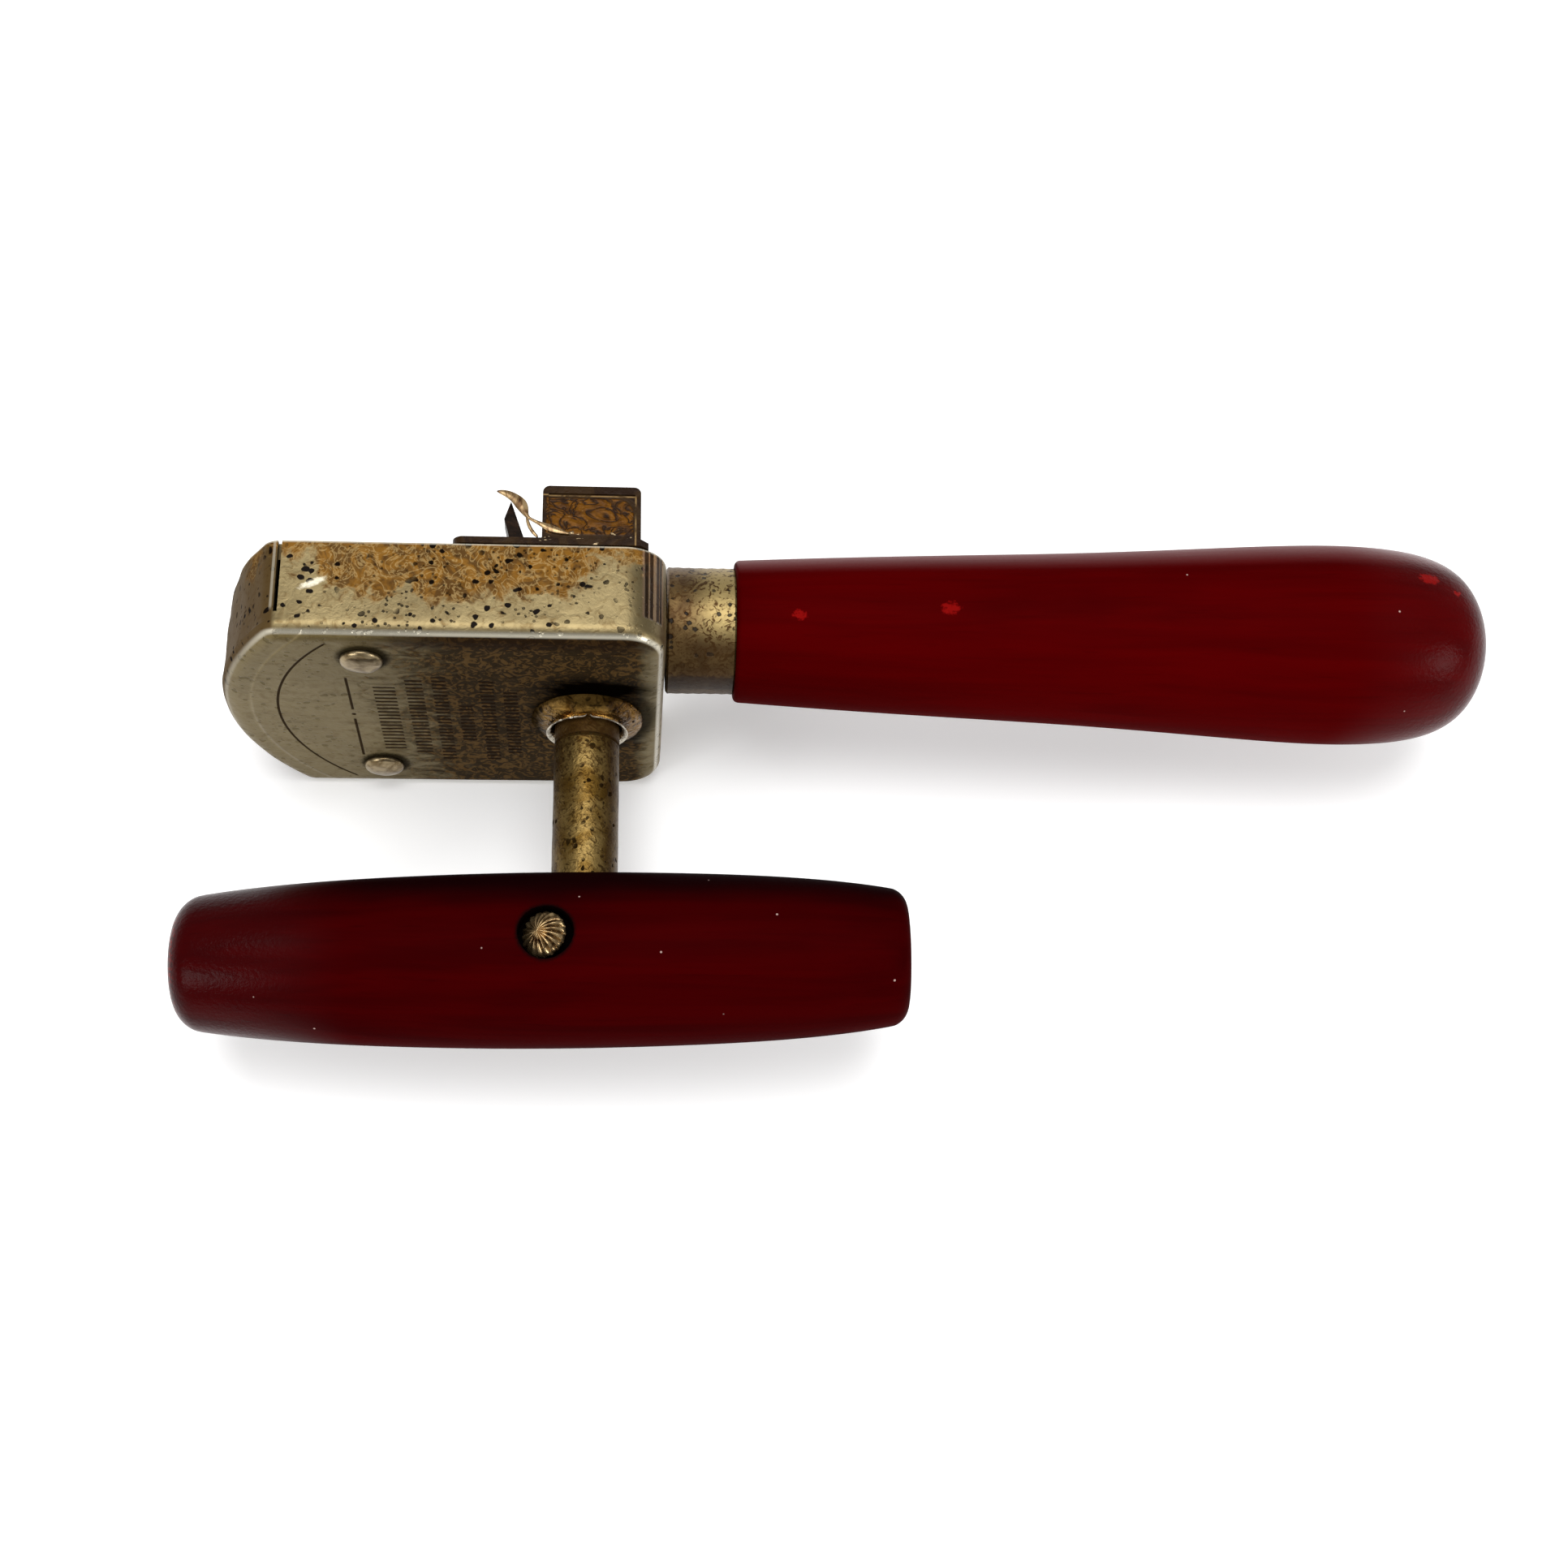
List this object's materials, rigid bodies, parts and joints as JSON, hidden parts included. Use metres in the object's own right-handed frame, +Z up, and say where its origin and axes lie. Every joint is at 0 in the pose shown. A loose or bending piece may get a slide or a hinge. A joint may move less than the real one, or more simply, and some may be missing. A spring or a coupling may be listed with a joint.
{
  "type": "hand-crank can opener",
  "caption": "Hand-held can opener with a sheet-metal gear case, a long turned wooden handle, a wooden cross-grip crank, a serrated feed wheel and a swinging knife jaw.",
  "frame": {"origin": "on the case's lower side wall, straight below the crank's axis, midway between the case's face and its back", "axes": "+X along the long handle towards its bulb, +Y from the case's face to its back, +Z up from the lower side wall to the jaw"},
  "size_m": [0.1935, 0.0798, 0.051],
  "materials": {
    "nickel": "tarnished nickel plate over steel",
    "brassy": "yellowed, pitted plating",
    "rusty": "rusty, worn plating",
    "dark_steel": "dark hardened steel",
    "gear_steel": "greased steel",
    "bearing": "dull brass",
    "leaf": "stained spring leaf",
    "red_wood": "old glossy dark red paint over turned wood"
  },
  "bodies": {
    "case": {"gear_case": "nickel", "frame_plate": "nickel", "ferrule": "brassy", "long_handle": "red_wood", "case_rivets": "nickel", "crank_bushing": "brassy", "feed_bushing": "bearing", "jaw_bushing": "bearing", "spring_seat": "gear_steel", "jaw_spring": "gear_steel"},
    "crank": {"crank_shaft": "brassy", "crank_pinion": "gear_steel", "crank_spacer": "gear_steel", "crank_retainer": "gear_steel", "crank_grip": "red_wood", "grip_pin": "brassy"},
    "feed": {"feed_shaft": "gear_steel", "feed_gear": "gear_steel", "feed_wheel": "rusty", "feed_washer": "rusty", "feed_nut": "rusty"},
    "jaw": {"jaw_plate": "rusty", "knife": "dark_steel", "knife_rivets": "rusty", "lid_spring": "leaf", "jaw_pivot": "rusty", "jaw_arm": "gear_steel"}
  },
  "joints": [
    {"name": "crank_turn", "type": "hinge", "parent": "case", "child": "crank", "pos_m": [0, 0, 0.0253], "axis": [0, 1, 0], "continuous": true},
    {"name": "feed_turn", "type": "hinge", "parent": "case", "child": "feed", "pos_m": [0, 0, 0.0393], "axis": [0, 1, 0], "continuous": true},
    {"name": "jaw_swing", "type": "hinge", "parent": "case", "child": "jaw", "pos_m": [-0.0145, 0, 0.0373], "axis": [0, -1, 0], "range_deg": [0, 8], "stiffness_Nm_per_rad": 0.165, "springref_deg": -21.77, "deforming": ["jaw_spring"]}
  ],
  "couplings": [
    {"joint": "feed_turn", "follows": "crank_turn", "ratio": -0.75}
  ]
}
